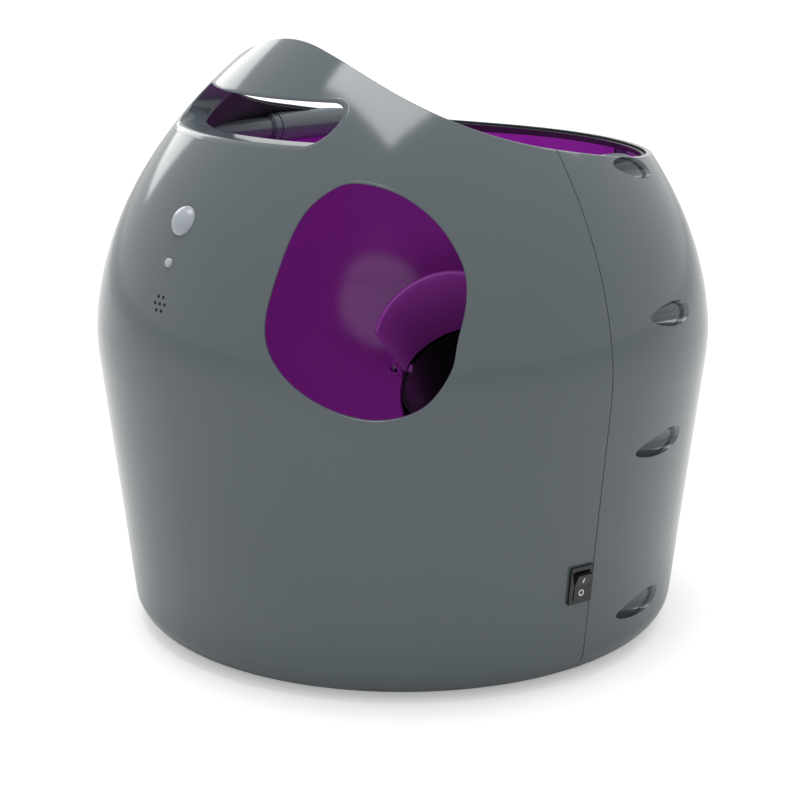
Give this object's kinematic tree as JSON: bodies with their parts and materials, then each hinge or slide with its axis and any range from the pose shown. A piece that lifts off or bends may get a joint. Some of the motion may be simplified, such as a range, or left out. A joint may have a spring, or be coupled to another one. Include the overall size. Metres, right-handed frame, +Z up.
{
  "type": "automatic dog ball launcher",
  "caption": "Round floor-standing ball launcher for dogs with a hopper on top, a carrying handle and a spring-driven barrel in a side opening.",
  "frame": {"origin": "middle of the footprint, at the level the rubber feet stand on", "axes": "+Z up; -Y is the front, where the handle stands; +X is the side with the power switch"},
  "size_m": [0.3714, 0.3714, 0.3568],
  "materials": {
    "shell": "gloss, slate grey",
    "purple": "gloss, deep purple",
    "black": "fine moulded",
    "gloss_black": "gloss",
    "grey": "moulded",
    "nylon": "natural nylon",
    "blue": "moulded",
    "board": "solder mask",
    "milky_lens": "milky, faceted",
    "clear_lens": "clear",
    "steel": "plated",
    "zinc": "zinc plated sheet",
    "nickel": "nickel plated",
    "brass": "turned",
    "rubber": "soft"
  },
  "bodies": {
    "housing": {"front_shell": "shell", "rear_shell": "shell", "shell_screws": "steel", "rim_liner": "black", "hopper_bowl": "purple", "launch_cavity": "purple", "feed_chute": "purple", "hood_pins": "steel", "breech_tube": "black", "striker_spring": "steel", "end_cap": "black", "end_cap_screws": "steel", "motor": "steel", "gear_shafts": "steel", "gearbox_inner_plate": "zinc", "gearbox_outer_plate": "zinc", "gearbox_posts": "brass", "launcher_cradle": "black", "cradle_screws": "steel", "base_plate": "black", "feet": "rubber", "battery_box": "black", "battery_contacts": "nickel", "main_board": "board", "board_screws": "steel", "pir_lens": "milky_lens", "led_lens": "clear_lens", "sensor_board": "board", "speaker": "black", "switch_housing": "black", "distance_switch": "blue", "dc_jack": "black"},
    "striker": {"striker": "grey", "striker_pad": "rubber"},
    "pinion": {"rack_pinion": "brass"},
    "final_wheel": {"final_gear": "nylon"},
    "idler_wheel": {"idler_gear": "nylon"},
    "motor_wheel": {"motor_pinion": "brass"},
    "hood": {"launch_hood": "purple"},
    "rocker": {"switch_rocker": "gloss_black"},
    "dial": {"distance_dial": "black"},
    "door": {"battery_door": "black"}
  },
  "joints": [
    {"name": "striker_slide", "type": "slide", "parent": "housing", "child": "striker", "axis": [0.3141, -0.6735, 0.6691], "range_m": [-0.03, 0], "stiffness_N_per_m": 900, "springref_m": 0.015, "deforming": ["striker_spring"]},
    {"name": "pinion_turn", "type": "hinge", "parent": "housing", "child": "pinion", "pos_m": [0.03925, 0.08501, 0.04202], "axis": [0.9063, 0.4226, 0], "range_deg": [-195, 5]},
    {"name": "final_wheel_turn", "type": "hinge", "parent": "housing", "child": "final_wheel", "pos_m": [0.03925, 0.08501, 0.04202], "axis": [0.9063, 0.4226, 0], "continuous": true},
    {"name": "idler_wheel_turn", "type": "hinge", "parent": "housing", "child": "idler_wheel", "pos_m": [0.03303, 0.09835, 0.05837], "axis": [0.9063, 0.4226, 0], "continuous": true},
    {"name": "motor_wheel_turn", "type": "hinge", "parent": "housing", "child": "motor_wheel", "pos_m": [0.02416, 0.11736, 0.05947], "axis": [0.9063, 0.4226, 0], "continuous": true},
    {"name": "hood_tilt", "type": "hinge", "parent": "housing", "child": "hood", "pos_m": [0.08867, -0.02098, 0.1677], "axis": [0.9063, 0.4226, 0], "range_deg": [0, 20]},
    {"name": "switch_rock", "type": "hinge", "parent": "housing", "child": "rocker", "pos_m": [0.17075, -0.0089, 0.06273], "axis": [0.052, 0.9986, 0], "range_deg": [-16, 0]},
    {"name": "dial_turn", "type": "hinge", "parent": "housing", "child": "dial", "pos_m": [0, 0.17728, 0.1], "axis": [0, 0.9935, -0.114], "range_deg": [0, 240]},
    {"name": "door_slide", "type": "slide", "parent": "housing", "child": "door", "axis": [0, 1, 0], "range_m": [0, 0.012]}
  ],
  "couplings": [
    {"joint": "pinion_turn", "follows": "striker_slide", "rad_per_m": 111.11},
    {"joint": "idler_wheel_turn", "follows": "final_wheel_turn", "ratio": -2.6667},
    {"joint": "motor_wheel_turn", "follows": "final_wheel_turn", "ratio": 8.5333}
  ]
}
